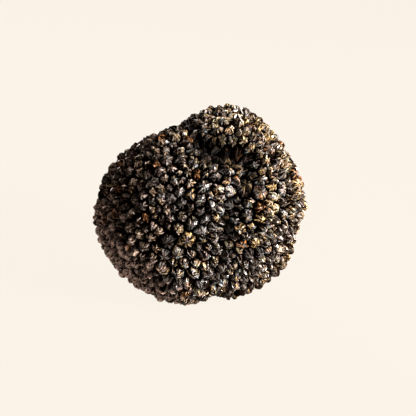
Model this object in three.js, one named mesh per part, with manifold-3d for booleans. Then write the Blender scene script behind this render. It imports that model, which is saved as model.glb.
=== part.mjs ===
// A black truffle: the fruiting body of a fungus that ripens underground.
// It is one grown piece. A rounded, lobed body is folded in on itself along one
// line and covered all over with low pyramidal warts, packed edge to edge.
// Units are millimetres, +Z is up, and the origin is the middle of the base,
// on the surface that the truffle rests on. Its front faces -Y.

import * as THREE from "three";
import { ConvexHull } from "three/addons/math/ConvexHull.js";
import { mergeVertices } from "three/addons/utils/BufferGeometryUtils.js";
import Module from "manifold-3d";

// Driving dimensions. Angles are in degrees.
const WIDTH = 55; // across X, over the tips of the warts
const BODY_HALF_AXES = new THREE.Vector3(26.9, 25.7, 25.6); // between the warts
const WART_COUNT = 1200; // makes the warts about 3 mm across
const WART_HEIGHT = 1.0; // from the crease at a wart's foot to its tip
const HEIGHT_VARIES = 0.35; // share by which one wart is higher or lower than the next
const TIP_WANDERS = 0.02; // how far a tip stands off its wart's middle, as a share of the radius
const SOLE_LEVEL = -24.1; // the underside is pressed flat here, below the body's centre
const TIPS_WORN = 0.55; // how much of the tips on the underside is worn away

// Where something is on the body is given by two angles seen from the body's
// centre: turn runs from the front towards +X, and lift is above the level.
const SWELLINGS = [
  { what: "flattened left shoulder", turn: -132, lift: 54, spread: 31, rise: -5.2 },
  { what: "flattened left side", turn: -98, lift: 17, spread: 21, rise: -1.8 },
  { what: "knob at the top", turn: 119, lift: 61, spread: 23, rise: 3.4 },
  { what: "brow of the knob", turn: 66, lift: 62, spread: 16, rise: 1.4 },
  { what: "left dome", turn: -30, lift: 15, spread: 40, rise: 0.8 },
  { what: "right lobe", turn: 79, lift: 15, spread: 28, rise: 2.1 },
  { what: "lower right", turn: 72, lift: -30, spread: 14, rise: 1.9 },
  { what: "dent in the right side", turn: 84, lift: -16, spread: 9, rise: -1.8 },
  { what: "lobe at the back", turn: -168, lift: 2, spread: 34, rise: 1.0 },
];

// The main fold starts behind the top, passes in front of the knob and runs down
// between the left dome and the right lobe. A shallow one runs down the dome, and
// a wider one down the back.
const FOLDS = [
  {
    spread: 6, // degrees from its line to where it fades
    stops: [
      { turn: -140, lift: 76, depth: 0.4 },
      { turn: -90, lift: 84, depth: 0.8 },
      { turn: -12, lift: 76, depth: 2.4 },
      { turn: 5, lift: 68, depth: 4.6 },
      { turn: 16, lift: 60, depth: 5.6 },
      { turn: 31, lift: 57, depth: 4.6 },
      { turn: 46, lift: 51, depth: 4.8 },
      { turn: 49, lift: 44, depth: 4.6 },
      { turn: 45, lift: 37, depth: 4.2 },
      { turn: 31, lift: 28, depth: 2.8 },
      { turn: 19, lift: 12, depth: 3.6 },
      { turn: 21, lift: -4, depth: 3.4 },
      { turn: 20, lift: -14, depth: 1.6 },
      { turn: 20, lift: -29, depth: 1.2 },
      { turn: 20, lift: -50, depth: 2.6 },
      { turn: 20, lift: -66, depth: 4.6 },
    ],
  },
  {
    spread: 4,
    stops: [
      { turn: -17, lift: 40, depth: 0.4 },
      { turn: -16, lift: 33, depth: 1.2 },
      { turn: -13, lift: 22, depth: 1.0 },
      { turn: -14, lift: 11, depth: 1.2 },
      { turn: -19, lift: 0, depth: 0.4 },
    ],
  },
  {
    spread: 7,
    stops: [
      { turn: 168, lift: 44, depth: 0.5 },
      { turn: 150, lift: 26, depth: 2.2 },
      { turn: 152, lift: 6, depth: 2.6 },
      { turn: 140, lift: -14, depth: 1.6 },
      { turn: 128, lift: -34, depth: 0.4 },
    ],
  },
];

const SEED = 7;
const RELAX_ROUNDS = 4; // each round evens out the spacing of the warts
const MOST_STRETCH = 3; // area of the surface over that of a plain ball, at the steepest fold

const RADIANS = Math.PI / 180;

// A unit vector from a turn and a lift.
function towards({ turn, lift }) {
  const level = Math.cos(lift * RADIANS);
  return new THREE.Vector3(
    Math.sin(turn * RADIANS) * level,
    -Math.cos(turn * RADIANS) * level,
    Math.sin(lift * RADIANS),
  );
}

// A bell curve: 1 in the middle, fading out past the spread.
function bell(distance, spread) {
  return Math.exp(-((distance / spread) ** 2));
}

// Repeatable random numbers from 0 to 1 (the mulberry32 generator).
function randomFrom(seed) {
  let state = seed;
  return () => {
    state = (state + 0x6d2b79f5) | 0;
    let mixed = Math.imul(state ^ (state >>> 15), 1 | state);
    mixed = (mixed + Math.imul(mixed ^ (mixed >>> 7), 61 | mixed)) ^ mixed;
    return ((mixed ^ (mixed >>> 14)) >>> 0) / 4294967296;
  };
}

// The stretches of the folds: straight lines between neighbouring stops.
const foldStretches = FOLDS.flatMap(({ spread, stops }) =>
  stops.slice(1).map((to, i) => ({
    line: new THREE.Line3(towards(stops[i]), towards(to)),
    depths: [stops[i].depth, to.depth],
    spread,
  })),
);

// How deep the folds are in a direction: deepest on a fold's line, at the nearest stop's depth.
function foldDepth(way) {
  let deepest = 0;
  const nearest = new THREE.Vector3();
  for (const { line, depths, spread } of foldStretches) {
    const share = line.closestPointToPointParameter(way, true);
    const off = line.at(share, nearest).distanceTo(way) / RADIANS;
    const depth = THREE.MathUtils.lerp(depths[0], depths[1], share);
    deepest = Math.max(deepest, depth * bell(off, spread));
  }
  return deepest;
}

// The body's surface between the warts, in a direction from its centre.
function bodyPoint(way) {
  const scaled = way.clone().divide(BODY_HALF_AXES);
  let radius = 1 / scaled.length() - foldDepth(way);
  for (const swelling of SWELLINGS) {
    const angle = way.angleTo(towards(swelling)) / RADIANS;
    radius += swelling.rise * bell(angle, swelling.spread);
  }
  const point = way.clone().multiplyScalar(radius);
  point.z = Math.max(point.z, SOLE_LEVEL);
  return point;
}

// The triangles between neighbouring sites, with each site's number on its vector.
function neighbourhood(sites) {
  sites.forEach((site, number) => (site.number = number));
  return new ConvexHull().setFromPoints(sites).faces;
}

// The three sites round a triangle.
function sitesOf(face) {
  return [0, 1, 2].map((side) => face.getEdge(side).head().point);
}

// The area of the body's surface that three directions enclose.
function areaBetween(ways) {
  return new THREE.Triangle(...ways.map(bodyPoint)).getArea();
}

// A direction picked at random, more often where the surface is stretched over a lobe or a fold.
function pickSite(random) {
  while (true) {
    const turn = 360 * random();
    const lift = Math.asin(2 * random() - 1) / RADIANS;
    const away = 1 / Math.max(Math.cos(lift * RADIANS), 0.01);
    const patch = [[0, 1], [-away, -1], [away, -1]].map(([across, up]) =>
      towards({ turn: turn + across, lift: lift + up }),
    );
    const level = new THREE.Triangle(...patch).getArea() * BODY_HALF_AXES.x ** 2;
    if (MOST_STRETCH * random() < areaBetween(patch) / level) return towards({ turn, lift });
  }
}

// Directions of the warts' middles, evenly but not regularly spaced over the surface.
function wartSites(random) {
  let sites = Array.from({ length: WART_COUNT }, () => pickSite(random));
  for (let round = 0; round < RELAX_ROUNDS; round++) {
    const moved = sites.map(() => new THREE.Vector3());
    for (const face of neighbourhood(sites)) {
      const around = sitesOf(face);
      const area = areaBetween(around);
      for (const site of around) moved[site.number].addScaledVector(face.midpoint, area);
    }
    sites = moved.map((sum) => sum.normalize());
  }
  return sites;
}

// The closed skin: each wart is a fan of triangles from its tip to the creases round it,
// and a crease turns a corner where three warts meet.
function wartySkin(sites, random) {
  const faces = neighbourhood(sites);
  const tips = sites.map((site) => {
    const wander = new THREE.Vector3(random() - 0.5, random() - 0.5, random() - 0.5);
    const way = site.clone().addScaledVector(wander, 2 * TIP_WANDERS).normalize();
    const height = WART_HEIGHT * (1 + HEIGHT_VARIES * (2 * random() - 1));
    return bodyPoint(way).addScaledVector(way, height);
  });
  const corners = new Map();
  for (const face of faces) {
    corners.set(face, bodyPoint(face.midpoint.clone().normalize()));
  }
  const points = [];
  for (const face of faces) {
    for (const side of [0, 1, 2]) {
      const edge = face.getEdge(side);
      points.push(tips[edge.head().point.number], corners.get(face), corners.get(edge.twin.face));
    }
  }
  return new THREE.BufferGeometry().setFromPoints(points);
}

const wasm = await Module();
wasm.setup();

// A closed geometry as a manifold-3d solid.
function solidOf(geometry) {
  const bare = new THREE.BufferGeometry();
  bare.setAttribute("position", geometry.getAttribute("position"));
  bare.setIndex(geometry.index);
  const merged = mergeVertices(bare);
  return new wasm.Manifold(
    new wasm.Mesh({
      numProp: 3,
      vertProperties: merged.attributes.position.array,
      triVerts: new Uint32Array(merged.index.array),
    }),
  );
}

// A manifold-3d solid as a three.js geometry.
function geometryOf(solid) {
  const { vertProperties, triVerts } = solid.getMesh();
  const geometry = new THREE.BufferGeometry();
  geometry.setAttribute("position", new THREE.BufferAttribute(vertProperties, 3));
  geometry.setIndex(new THREE.BufferAttribute(triVerts, 1));
  return geometry;
}

// The truffle with the tips under it worn to one level, so that it stands.
function truffleGeometry() {
  const random = randomFrom(SEED);
  const skin = wartySkin(wartSites(random), random);
  const ground = new THREE.BoxGeometry(2 * WIDTH, 2 * WIDTH, WIDTH);
  const groundLevel = SOLE_LEVEL - WART_HEIGHT + TIPS_WORN;
  ground.translate(0, 0, groundLevel - WIDTH / 2);
  const worn = geometryOf(solidOf(skin).subtract(solidOf(ground)));
  worn.computeBoundingBox();
  const box = worn.boundingBox;
  const middle = box.getCenter(new THREE.Vector3());
  worn.translate(-middle.x, -middle.y, -box.min.z);
  const scale = WIDTH / (box.max.x - box.min.x);
  return worn.scale(scale, scale, scale);
}

const truffle = new THREE.Mesh(
  truffleGeometry(),
  new THREE.MeshStandardMaterial({ color: 0x2b221d, roughness: 0.55, metalness: 0, flatShading: true }),
);
truffle.name = "truffle";

const part = new THREE.Group();
part.add(truffle);

export default part;
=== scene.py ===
# A black truffle at rest on a pale surface, in soft studio light. Lengths are in metres, and
# colours are linear red, green and blue.

import math
import random

import bmesh
import bpy
from bmesh.types import BMEdge
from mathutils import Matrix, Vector
from mathutils.bvhtree import BVHTree


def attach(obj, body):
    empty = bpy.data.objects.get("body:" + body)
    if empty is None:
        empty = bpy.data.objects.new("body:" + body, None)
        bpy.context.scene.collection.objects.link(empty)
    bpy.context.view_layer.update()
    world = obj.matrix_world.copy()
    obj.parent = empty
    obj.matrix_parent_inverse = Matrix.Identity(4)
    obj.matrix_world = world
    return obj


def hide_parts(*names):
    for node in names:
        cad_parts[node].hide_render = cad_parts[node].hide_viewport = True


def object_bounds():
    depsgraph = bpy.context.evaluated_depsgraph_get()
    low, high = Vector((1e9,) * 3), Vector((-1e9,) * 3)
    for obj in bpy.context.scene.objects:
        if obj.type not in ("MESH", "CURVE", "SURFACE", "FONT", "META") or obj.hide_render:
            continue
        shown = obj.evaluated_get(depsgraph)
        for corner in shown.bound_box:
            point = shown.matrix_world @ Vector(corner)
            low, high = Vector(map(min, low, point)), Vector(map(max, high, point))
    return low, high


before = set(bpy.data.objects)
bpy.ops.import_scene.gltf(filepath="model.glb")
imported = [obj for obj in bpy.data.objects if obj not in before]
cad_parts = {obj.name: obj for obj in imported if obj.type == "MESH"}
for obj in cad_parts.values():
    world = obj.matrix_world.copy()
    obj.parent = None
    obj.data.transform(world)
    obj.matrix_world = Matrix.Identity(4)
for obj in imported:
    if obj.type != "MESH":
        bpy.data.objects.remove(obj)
cad_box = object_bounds()
cad_low, cad_high = (Vector(corner) for corner in cad_box)
middle = (cad_low + cad_high) / 2
width = cad_high.x - cad_low.x


# ---- Camera ----
# A long lens looks down on the truffle's front from 25 degrees above.
# The truffle fills about half of the frame and stands a little left of the middle.

CAMERA_LIFT = math.radians(25)
LENS = 0.100
SENSOR = 0.036
MILLIMETRES = 1000  # lens and sensor are given to Blender in millimetres
WIDTH_IN_FRAME = 0.505  # the truffle's width over the frame's
ASIDE = 0.040  # how far the aim is to the right of the truffle's middle, over its width
BELOW = 0.034  # how far the aim is below it, over its width

toward_camera = Vector((0, -math.cos(CAMERA_LIFT), math.sin(CAMERA_LIFT)))
camera_turn = (-toward_camera).to_track_quat("-Z", "Y")
aim = middle + camera_turn @ Vector((ASIDE, -BELOW, 0)) * width

camera_data = bpy.data.cameras.new("camera")
camera_data.lens = LENS * MILLIMETRES
camera_data.sensor_width = SENSOR * MILLIMETRES
camera = bpy.data.objects.new("camera", camera_data)
bpy.context.collection.objects.link(camera)
camera.location = aim + toward_camera * (width / WIDTH_IN_FRAME * LENS / SENSOR)
camera.rotation_euler = camera_turn.to_euler()
bpy.context.scene.camera = camera


# ---- Truffle skin ----
# The skin of a ripe black truffle is hard and brown-black, and cracked all over into blunt,
# ribbed warts on feet of four to eight sides. Many tips are rubbed down to the ochre layer
# under the skin. It is one mesh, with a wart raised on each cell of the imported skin.

SAME_POINT = 1e-6  # points closer than this are one
SPAN = 0.00047  # the length that a side of a wart's foot is divided into
MOST_SPANS = 5
RIB_SEED = 5

# The least and the most that the skin stands out at a foot's corners, and between them in
# the furrows and on the ridges, which take turns.
CORNER_RIB = (0.3, 1.0)
FURROW = (-1.0, 0.3)
RIDGE = (-0.3, 1.0)

# Each ring of a wart, from near its foot to its tip: its reach from the axis, and its rise.
RINGS = [(0.82, 0.42), (0.60, 0.76), (0.32, 0.94), (0.0, 1.0)]

WART_SIZES = {
    "Wart Height": 0.0011,
    "Height Varies": 0.3,
    "Crease Depth": 0.0011,
    "Slimness": 0.14,
    "Rib Reach": 0.15,
    "Rib Height": 0.00014,
    "Lean": 0.0003,
    "Warp": 0.0021,
    "Warp Grain": 330.0,
    "Roughness": 0.0010,
    "Grain": 1300.0,
    "Seed": 8,
}

# Grains of each pattern of colour in a metre.
FINE_GRAIN = 4000.0
SPECKLE_GRAIN = 1700.0
KINK_GRAIN = 1300.0
WEAR_GRAIN = 900.0
RED_GRAIN = 700.0
GOLD_GRAIN = 600.0
PATCH_GRAIN = 450.0

KINK = 0.0005  # how far the streaks on a wart wander
STREAKS = 1.9  # grains from a wart's axis to its flank, which makes a dozen streaks round it
NEXT_WART = 2000.0  # moves the pattern on from one wart to the next
FLECKS = 1.9  # flecks to a streak
ANOTHER_PART = (0.1, 0.0, 0.0)  # moves a pattern off, so that it doesn't follow another
BUMP = 0.0002  # how deep the finest roughness looks

# Where the skin differs, in its own colour and in painted shade and sheen: places and directions
# from the truffle's middle, in widths of it.
# The first place is the middle of a painted shadow in the fold, where the knob shades it.
FOLD_SHADOW_MIDDLE = (0.058, -0.218, 0.318)  # the deepest part of the fold
FRONT = (0.0, -0.436, 0.048)
FLOOR_SHEEN_SIDE = (-0.75, -0.27, -0.59)
LEFT_SIDE = (-1.0, 0.0, 0.0)
RIGHT_SIDE = (1.0, 0.0, 0.35)
UNDERSIDE = (0.4, 0.0, -1.0)

# How far out each of those starts and is in full, in about the same widths.
FOLD_SHADOW_EDGE = (0.155, 0.064)
AWAY_EDGE = (0.25, 0.51)  # away from the front
FLOOR_SHEEN_EDGE = (0.345, 0.475)
LEFT_SHADE_EDGE = (0.0, 0.33)
RIGHT_EDGE = (0.06, 0.38)
UNDERSIDE_SHADE_EDGE = (0.28, 0.46)
# Cells that lie deeper below the stretched skin get painted shade in their hollows and fewer
# painted highlights.
OPEN_UNSHADED_EDGE = (0.0022, 0.0003)  # metres below a skin stretched over the truffle

# The level of each pattern at which it starts to show, and at which it shows in full.
WEAR_AND_HIGHLIGHT = (0.475, 0.630)
FLECKED = (0.415, 0.585)
NEAR_TIP = (0.37, 0.66)
REDDISH = (0.38, 0.62)
GOLDEN = (0.47, 0.62)
BARED = (0.86, 0.98)
RUSTY = (0.075, 0.04)
SHEEN_PATCHY = (0.44, 0.70)
OUT_OF_CREASE_SHADE = (0.3, 0.9)
GLOSSY = (0.2, 0.7)

# The first three are painted shade: in the creases, in the painted shadow of the fold, and in the
# deeper hollows.
CREASE_SHADE_BLACK = (0.0003, 0.0001, 0.0001)
FOLD_SHADOW_BLACK = (0.001, 0.001, 0.001)
RECESS_SHADE_BLACK = (0.0012, 0.0007, 0.0005)
FLANK_BROWN = (0.0030, 0.0014, 0.0008)
# Slate to clay are the tints of the painted highlights on the warts; ochre and rust are their worn
# tips.
SLATE = (0.062, 0.054, 0.049)
UMBER = (0.066, 0.043, 0.030)
ASH = (0.30, 0.345, 0.36)
MAUVE = (0.37, 0.26, 0.245)
STRAW = (0.36, 0.30, 0.17)
TAN = (0.38, 0.22, 0.11)
CLAY = (0.37, 0.235, 0.175)
OCHRE = (0.40, 0.25, 0.10)
RUST = (0.33, 0.14, 0.05)
# The last two are a painted sheen of the floor's light on the lower left, pale and pinkish.
SHEEN_PALE = (0.43, 0.31, 0.253)
SHEEN_PINK = (0.50, 0.32, 0.262)


def wart_cells(node):
    """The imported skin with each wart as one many-sided cell, whose outline is its crease."""
    cells = bmesh.new()
    cells.from_mesh(node.data)
    bmesh.ops.remove_doubles(cells, verts=cells.verts, dist=SAME_POINT)

    # A triangle of a wart runs from a crease to the tip, so its most inward fold is the crease.
    folded = BMEdge.calc_face_angle_signed
    deepest = {min(face.edges, key=folded) for face in cells.faces}
    creases = {edge for edge in deepest if folded(edge) < 0}
    ridges = [edge for edge in cells.edges if edge not in creases]
    bmesh.ops.dissolve_edges(cells, edges=ridges, use_verts=True)

    # The outline gets points for the ribs and furrows that run up to the tip.
    draw = random.Random(RIB_SEED)
    rib = cells.verts.layers.float.new("rib")
    for corner in cells.verts:
        corner[rib] = draw.uniform(*CORNER_RIB)
    for side in list(cells.edges):
        spans = min(MOST_SPANS, max(1, round(side.calc_length() / SPAN)))
        start = side.verts[0]
        rest = side
        for spans_left in range(spans, 1, -1):
            rest, start = bmesh.utils.edge_split(rest, start, 1 / spans_left)
            furrow = (spans - spans_left) % 2 == 0
            start[rib] = draw.uniform(*(FURROW if furrow else RIDGE))

    # How far each cell lies below a skin stretched over the truffle.
    hull = cells.copy()
    inside = bmesh.ops.convex_hull(hull, input=hull.verts)["geom_interior"]
    bmesh.ops.delete(hull, geom=inside, context="VERTS")
    stretched = BVHTree.FromBMesh(hull)
    hull.free()
    hollow = cells.faces.layers.float.new("hollow")
    for cell in cells.faces:
        *_, distance = stretched.find_nearest(cell.calc_center_median())
        cell[hollow] = distance

    mesh = bpy.data.meshes.new("truffle_cells")
    cells.to_mesh(mesh)
    cells.free()
    return mesh


def find_socket(sockets, key):
    """A socket in use, by its name or its place."""
    if isinstance(key, int):
        return sockets[key]
    return next(socket for socket in sockets if socket.name == key and not socket.is_unavailable)


class Socket:
    """A node's output. An expression on it adds maths nodes."""

    def __init__(self, nodes, socket):
        self.nodes = nodes
        self.socket = socket

    @staticmethod
    def is_vector(value):
        if isinstance(value, Socket):
            return value.socket.type == "VECTOR"
        return isinstance(value, (tuple, Vector))

    def maths(self, operation, first, second):
        vectors = self.is_vector(first) or self.is_vector(second)
        kind = "ShaderNodeVectorMath" if vectors else "ShaderNodeMath"
        return self.nodes.add(kind, {"operation": operation}, {0: first, 1: second})[0]

    def vector_maths(self, operation, *others):
        values = dict(enumerate((self, *others)))
        return self.nodes.add("ShaderNodeVectorMath", {"operation": operation}, values)

    def dot(self, other):
        return self.vector_maths("DOT_PRODUCT", other)["Value"]

    def distance(self, other):
        return self.vector_maths("DISTANCE", other)["Value"]

    def unit(self):
        return self.vector_maths("NORMALIZE")["Vector"]

    def at_least(self, other):
        return self.vector_maths("MAXIMUM", other)["Vector"]

    def __add__(self, other):
        return self.maths("ADD", self, other)

    def __sub__(self, other):
        return self.maths("SUBTRACT", self, other)

    def __rsub__(self, other):
        return self.maths("SUBTRACT", other, self)

    def __mul__(self, other):
        if self.is_vector(other):
            return other * self
        if self.is_vector(self):
            values = {0: self, "Scale": other}
            return self.nodes.add("ShaderNodeVectorMath", {"operation": "SCALE"}, values)["Vector"]
        return self.maths("MULTIPLY", self, other)

    __radd__ = __add__
    __rmul__ = __mul__


class Node:
    """A node, which gives its outputs by name or place."""

    def __init__(self, nodes, node):
        self.nodes = nodes
        self.node = node

    def __getitem__(self, key):
        return Socket(self.nodes, find_socket(self.node.outputs, key))


class Nodes:
    """The nodes of one tree."""

    def __init__(self, tree):
        self.tree = tree

    def add(self, kind, settings, sockets):
        """Adds a node of a kind, makes its settings, then sets or links its sockets."""
        node = self.tree.nodes.new(kind)
        for name, value in settings.items():
            setattr(node, name, value)
        for key, value in sockets.items():
            target = find_socket(node.inputs, key)
            if isinstance(value, Socket):
                self.tree.links.new(value.socket, target)
            else:
                target.default_value = value
        return Node(self, node)


def wart_tree():
    """Geometry Nodes that raise a blunt, ribbed wart on each cell of the skin."""
    tree = bpy.data.node_groups.new("warts", "GeometryNodeTree")
    sockets = tree.interface
    sockets.new_socket("Cells", in_out="INPUT", socket_type="NodeSocketGeometry")
    for name, value in WART_SIZES.items():
        kind = "NodeSocketInt" if isinstance(value, int) else "NodeSocketFloat"
        sockets.new_socket(name, in_out="INPUT", socket_type=kind).default_value = value
    sockets.new_socket("Material", in_out="INPUT", socket_type="NodeSocketMaterial")
    sockets.new_socket("Warts", in_out="OUTPUT", socket_type="NodeSocketGeometry")

    nodes = Nodes(tree)
    given = nodes.add("NodeGroupInput", {}, {})

    def store(skin, domain, name, value, where=True):
        kind = "FLOAT_VECTOR" if Socket.is_vector(value) else "FLOAT"
        return nodes.add(
            "GeometryNodeStoreNamedAttribute",
            {"data_type": kind, "domain": domain},
            {"Geometry": skin, "Selection": where, "Name": name, "Value": value},
        )["Geometry"]

    def stored(name, kind="FLOAT"):
        node = nodes.add("GeometryNodeInputNamedAttribute", {"data_type": kind}, {"Name": name})
        return node["Attribute"]

    def chance(draw, low, high):
        """A random value for each wart. Each draw's number gives values of its own."""
        kind = "FLOAT_VECTOR" if Socket.is_vector(low) else "FLOAT"
        cell = nodes.add("GeometryNodeInputIndex", {}, {})["Index"]
        values = {"Min": low, "Max": high, "ID": cell, "Seed": given["Seed"] + draw}
        return nodes.add("FunctionNodeRandomValue", {"data_type": kind}, values)["Value"]

    def unevenness(vector, grain):
        """A vector of about half a unit at most, which changes from grain to grain."""
        values = {"Vector": vector, "Scale": grain, "Detail": 1.0}
        return nodes.add("ShaderNodeTexNoise", {}, values)["Color"] - (0.5, 0.5, 0.5)

    # Uneven growth stretches the cells here and squeezes them there.
    position = nodes.add("GeometryNodeInputPosition", {}, {})["Position"]
    warp = unevenness(position, given["Warp Grain"]) * given["Warp"]
    skin = given["Cells"]
    skin = nodes.add("GeometryNodeSetPosition", {}, {"Geometry": skin, "Offset": warp})["Geometry"]

    # What every point of a wart is told about that wart.
    skin = store(skin, "FACE", "centre", position)
    skin = store(skin, "FACE", "axis", nodes.add("GeometryNodeInputNormal", {}, {})["Normal"])
    skin = store(skin, "FACE", "kind", chance(0, 0.0, 1.0))
    skin = store(skin, "FACE", "lean", chance(1, (-1.0, -1.0, 0.0), (1.0, 1.0, 0.0)))
    skin = store(skin, "FACE", "tall", chance(3, -1.0, 1.0))
    skin = store(skin, "FACE", "shade", chance(4, 0.0, 1.0))
    skin = store(skin, "FACE", "slim", chance(5, -1.0, 1.0))
    skin = store(skin, "POINT", "foot", position)
    skin = store(skin, "POINT", "reach", 1.0)
    skin = store(skin, "POINT", "rise", 0.0)

    # The rings are extruded in place, each from the one before, and are put in place below.
    top = True
    for ring_reach, ring_rise in RINGS:
        ring = nodes.add(
            "GeometryNodeExtrudeMesh",
            {"mode": "FACES"},
            {"Mesh": skin, "Selection": top, "Offset Scale": 0.0, "Individual": True},
        )
        top = ring["Top"]
        skin = store(ring["Mesh"], "POINT", "reach", ring_reach, top)
        skin = store(skin, "POINT", "rise", ring_rise, top)

    centre = stored("centre", "FLOAT_VECTOR")
    axis = stored("axis", "FLOAT_VECTOR")
    foot = stored("foot", "FLOAT_VECTOR")
    lean = stored("lean", "FLOAT_VECTOR")
    reach = stored("reach")
    rise = stored("rise")
    rib = stored("rib")

    # A wart is fullest just above its foot, where the ribs stand out most.
    full = 1 - (1 - rise) * (1 - rise)
    girth = 1 + (rib * given["Rib Reach"] - stored("slim") * given["Slimness"]) * full
    height = given["Wart Height"] * (1 + stored("tall") * given["Height Varies"])
    up = height * rise - given["Crease Depth"] * (1 - rise)
    up = up + rib * given["Rib Height"] * (rise * reach)
    place = centre + (foot - centre) * (reach * girth) + axis * up
    place = place + lean * (given["Lean"] * rise)
    rough = unevenness(foot * reach + axis * rise, given["Grain"])
    place = place + rough * (given["Roughness"] * rise)

    # Nothing reaches below the surface that the truffle rests on.
    place = place.at_least((-width, -width, 0.0))
    moved = {"Geometry": skin, "Position": place}
    skin = nodes.add("GeometryNodeSetPosition", {}, moved)["Geometry"]
    merge = {"Geometry": skin, "Distance": SAME_POINT}
    skin = nodes.add("GeometryNodeMergeByDistance", {}, merge)["Geometry"]
    flat = {"Geometry": skin, "Shade Smooth": False}
    skin = nodes.add("GeometryNodeSetShadeSmooth", {}, flat)["Geometry"]
    for name in ("lean", "tall", "slim", "foot", "reach"):
        used = {"Geometry": skin, "Name": name}
        skin = nodes.add("GeometryNodeRemoveAttribute", {}, used)["Geometry"]
    skin = nodes.add("GeometryNodeRealizeInstances", {}, {"Geometry": skin})["Geometry"]
    finish = {"Geometry": skin, "Material": given["Material"]}
    skin = nodes.add("GeometryNodeSetMaterial", {}, finish)["Geometry"]
    nodes.add("NodeGroupOutput", {}, {"Warts": skin})
    return tree


def skin_material():
    """Black flanks with painted shade in the creases, and paler streaks of painted highlight, with
    a satin coat, running up to each wart's tip; some tips are worn to ochre or rust.
    """
    material = bpy.data.materials.new("truffle_skin")
    material.use_nodes = True
    material.node_tree.nodes.clear()
    nodes = Nodes(material.node_tree)

    def attribute(name, output="Fac"):
        return nodes.add("ShaderNodeAttribute", {"attribute_name": name}, {})[output]

    def mix(share, *colours):
        low, high = (
            colour if isinstance(colour, Socket) else (*colour, 1) for colour in colours
        )
        values = {"Factor": share, "A": low, "B": high}
        return nodes.add("ShaderNodeMix", {"data_type": "RGBA"}, values)["Result"]

    def ramp(value, start, end):
        """A mask: 0 up to the start, 1 from the end, and even between them."""
        values = {"Value": value, "From Min": start, "From Max": end}
        return nodes.add("ShaderNodeMapRange", {}, values)["Result"]

    def noise(vector, grain, detail=2.0, output="Fac"):
        values = {"Vector": vector, "Scale": grain, "Detail": detail}
        return nodes.add("ShaderNodeTexNoise", {}, values)[output]

    # What the mesh says of a point and of its wart.
    place = nodes.add("ShaderNodeTexCoord", {}, {})["Object"]
    centre = attribute("centre", "Vector")
    axis = attribute("axis", "Vector")
    rise = attribute("rise")
    rib = attribute("rib")
    kind = attribute("kind")
    shade = attribute("shade")
    hollow = attribute("hollow")

    # Patterns of several sizes, each from -0.5 to 0.5.
    fine = noise(place, FINE_GRAIN) - 0.5
    speckle = noise(place, SPECKLE_GRAIN) - 0.5
    wear = noise(place, WEAR_GRAIN) - 0.5
    patch = noise(place, PATCH_GRAIN) - 0.5

    # Parts of the truffle, each a mask: what lies open, out of the painted shade of the hollows;
    # the painted shadow in the fold; the lower left, where a painted sheen of the floor's light
    # lies;
    # the left side and the underside, which get painted shade; the right side, with more ochre;
    # and the parts away from the front, browner and more golden.
    spot = (place - middle) * (1 / width)
    exposed_and_unshaded = ramp(hollow, *OPEN_UNSHADED_EDGE)
    fold_shadow = ramp(spot.distance(FOLD_SHADOW_MIDDLE), *FOLD_SHADOW_EDGE)
    # The painted sheen's edge is ragged, and now and then goes round a whole wart.
    floor_sheen = spot.dot(FLOOR_SHEEN_SIDE) + patch * 0.35 + wear * 0.2 + (shade - 0.5) * 0.08
    floor_sheen = ramp(floor_sheen, *FLOOR_SHEEN_EDGE)
    shaded_left = ramp(spot.dot(LEFT_SIDE), *LEFT_SHADE_EDGE)
    right = ramp(spot.dot(RIGHT_SIDE), *RIGHT_EDGE)
    shaded_underside = ramp(spot.dot(UNDERSIDE), *UNDERSIDE_SHADE_EDGE)
    away = ramp(spot.distance(FRONT), *AWAY_EDGE)

    # Streaks fan out from each wart's axis and follow its flanks down.
    out = place - centre + (noise(place, KINK_GRAIN, 1.0, "Color") - (0.5, 0.5, 0.5)) * KINK
    around = (out - axis * out.dot(axis)).unit()
    spoke = around * STREAKS + centre * NEXT_WART + axis * rise
    streak = noise(spoke, 1.0, 5.0)
    fleck = ramp(noise(spoke, FLECKS, 4.0) + fine * 0.6, *FLECKED)
    top = ramp(rise + speckle * 0.5 + patch * 0.7, *NEAR_TIP)
    wear_and_highlight = ramp(streak + fine * 0.5 + patch * 0.4 + rib * 0.12, *WEAR_AND_HIGHLIGHT)
    # There are fewer painted highlights in the hollows, under the painted sheen on the lower left,
    # on the shaded left side and underside, and in the fold's painted shadow.
    wear_and_highlight = wear_and_highlight * top * (0.03 + fleck * 0.97) * (0.25 + exposed_and_unshaded * 0.75)
    wear_and_highlight = wear_and_highlight * (1 - floor_sheen * 0.6) * (1 - shaded_left * 0.35) * (1 - shaded_underside * 0.6) * (1 - fold_shadow * 0.8)

    # The streaks are painted highlights, grey, reddish or golden; on some warts they are worn to
    # ochre or rust.
    red = ramp(noise(place, RED_GRAIN), *REDDISH)
    gold = noise(place + ANOTHER_PART, GOLD_GRAIN) + (shade - 0.5) * 0.15
    gold = ramp(gold + away * 0.06, *GOLDEN)
    pale = mix(gold, mix(red, ASH, MAUVE), mix(red, STRAW, TAN))
    # On the left side, which gets painted shade, the painted highlights turn to clay.
    pale = mix(shaded_left * 0.75, pale, CLAY)
    tip = mix(shade, mix(away, SLATE, UMBER), pale)
    bared = kind * 0.8 + right * 0.1 + exposed_and_unshaded * 0.1 + wear * 1.1 + speckle * 0.7
    tip = mix(ramp(bared, *BARED), tip, OCHRE)
    tip = mix(ramp(kind + wear * 0.2, *RUSTY), tip, RUST)

    # Under the streaks the skin is near black, with painted shade in the creases, the hollows and
    # the fold, and a painted sheen of the floor's light on the lower left.
    sheen_patch = floor_sheen * ramp(streak + speckle * 1.0 + fine * 0.9 + rise * 0.12, *SHEEN_PATCHY)
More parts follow.
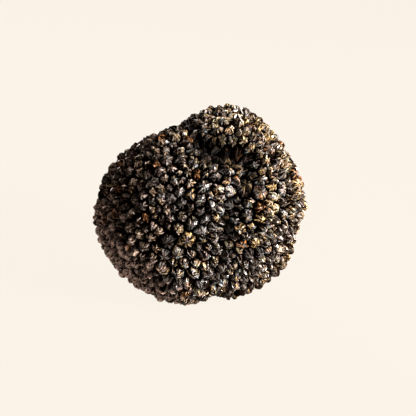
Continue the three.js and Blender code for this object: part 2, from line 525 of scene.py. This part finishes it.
    # In order: painted shade in the hollows, a painted sheen of the floor's light on the lower
    # left, the fold's painted shadow, and painted shade in the creases.
    flank = mix(exposed_and_unshaded, RECESS_SHADE_BLACK, FLANK_BROWN)
    flank = mix(sheen_patch, flank, mix(red, SHEEN_PALE, SHEEN_PINK))
    flank = mix(fold_shadow, flank, FOLD_SHADOW_BLACK)
    colour = mix(ramp(rise, *OUT_OF_CREASE_SHADE), CREASE_SHADE_BLACK, flank)
    colour = mix(wear_and_highlight, colour, tip)

    bump = {"Strength": 0.7, "Distance": BUMP, "Height": fine + speckle}
    shader = nodes.add(
        "ShaderNodeBsdfPrincipled",
        {},
        {
            "Base Color": colour,
            "Roughness": 0.7,
            "Specular IOR Level": 0.0,
            "Coat Weight": ramp(wear_and_highlight, *GLOSSY) * (1 - shaded_left * 0.7),
            "Coat Roughness": 0.33,
            "Coat IOR": 1.6,
            "Normal": nodes.add("ShaderNodeBump", {}, bump)["Normal"],
        },
    )
    nodes.add("ShaderNodeOutputMaterial", {}, {"Surface": shader["BSDF"]})
    return material


cells = bpy.data.objects.new("truffle_cells", wart_cells(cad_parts["truffle"]))
bpy.context.collection.objects.link(cells)
warts = cells.modifiers.new("warts", "NODES")
warts.node_group = wart_tree()
for item in warts.node_group.interface.items_tree:
    if item.name in WART_SIZES:
        warts[item.identifier] = WART_SIZES[item.name]
    elif item.name == "Material":
        warts[item.identifier] = skin_material()
evaluated = cells.evaluated_get(bpy.context.evaluated_depsgraph_get())
skin_mesh = bpy.data.meshes.new_from_object(evaluated)
skin_mesh.name = "truffle_skin"
bpy.data.objects.remove(cells)

skin = bpy.data.objects.new("truffle_skin", skin_mesh)
bpy.context.collection.objects.link(skin)
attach(skin, "root")
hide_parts("truffle")


# ---- Floor ----
# A level sheet of cream acrylic that glows evenly from below, so that the shadow on it is
# faint. It is so wide that its edge is out of sight.

FLOOR_SIDE = 6.0
CREAM = (0.973, 0.905, 0.814, 1)
GLOW = 0.963
UNLIT_CREAM = (0.008, 0.0072, 0.0064, 1)  # what it adds in the lamps' light, which is little

edge = FLOOR_SIDE / 2
floor_mesh = bpy.data.meshes.new("floor")
floor_corners = [(-edge, -edge, 0), (edge, -edge, 0), (edge, edge, 0), (-edge, edge, 0)]
floor_mesh.from_pydata(floor_corners, [], [(0, 1, 2, 3)])
floor = bpy.data.objects.new("floor", floor_mesh)
bpy.context.collection.objects.link(floor)

acrylic = bpy.data.materials.new("acrylic")
acrylic.use_nodes = True
acrylic.node_tree.nodes.clear()
acrylic_nodes = Nodes(acrylic.node_tree)
acrylic_shader = acrylic_nodes.add(
    "ShaderNodeBsdfPrincipled",
    {},
    {
        "Base Color": UNLIT_CREAM,
        "Roughness": 1.0,
        "Specular IOR Level": 0.0,
        "Emission Color": CREAM,
        "Emission Strength": GLOW,
    },
)
acrylic_nodes.add("ShaderNodeOutputMaterial", {}, {"Surface": acrylic_shader["BSDF"]})
floor_mesh.materials.append(acrylic)


# ---- Lights ----
# Gridded soft boxes stand in a ring round the truffle and light it, but hardly the floor.
# Each stands at a turn from the front towards +X and a lift above the level, in degrees.

BOX_SIDE = 0.20
BOX_AWAY = 1.0
BOX_SPREAD = math.radians(40)  # how wide the grid lets its light out


def softbox(name, turn, lift, power, colour):
    turn = math.radians(turn)
    lift = math.radians(lift)
    level = math.cos(lift)
    way = Vector((math.sin(turn) * level, -math.cos(turn) * level, math.sin(lift)))
    lamp = bpy.data.lights.new(name, "AREA")
    lamp.energy = power
    lamp.color = colour
    lamp.size = BOX_SIDE
    lamp.spread = BOX_SPREAD
    box = bpy.data.objects.new(name, lamp)
    bpy.context.collection.objects.link(box)
    box.location = middle + way * BOX_AWAY
    box.rotation_euler = way.to_track_quat("Z", "Y").to_euler()


softbox("key", 58, 17, 3.4, (1, 0.97, 0.92))
softbox("side", 90, 16, 1.1, (1, 0.95, 0.87))
softbox("rim", 120, 17, 1.25, (1, 0.95, 0.88))
softbox("front", -10, 35, 0.19, (1, 0.96, 0.93))
softbox("back", 205, 15, 1.3, (1, 0.92, 0.84))

# Past the floor's edge is more of the same cream, which lights nothing.
world = bpy.data.worlds.new("world")
bpy.context.scene.world = world
world.use_nodes = True
background = world.node_tree.nodes["Background"]
background.inputs["Color"].default_value = CREAM
background.inputs["Strength"].default_value = GLOW
world.cycles_visibility.diffuse = False
world.cycles_visibility.glossy = False
bpy.context.scene.view_settings.view_transform = "Standard"
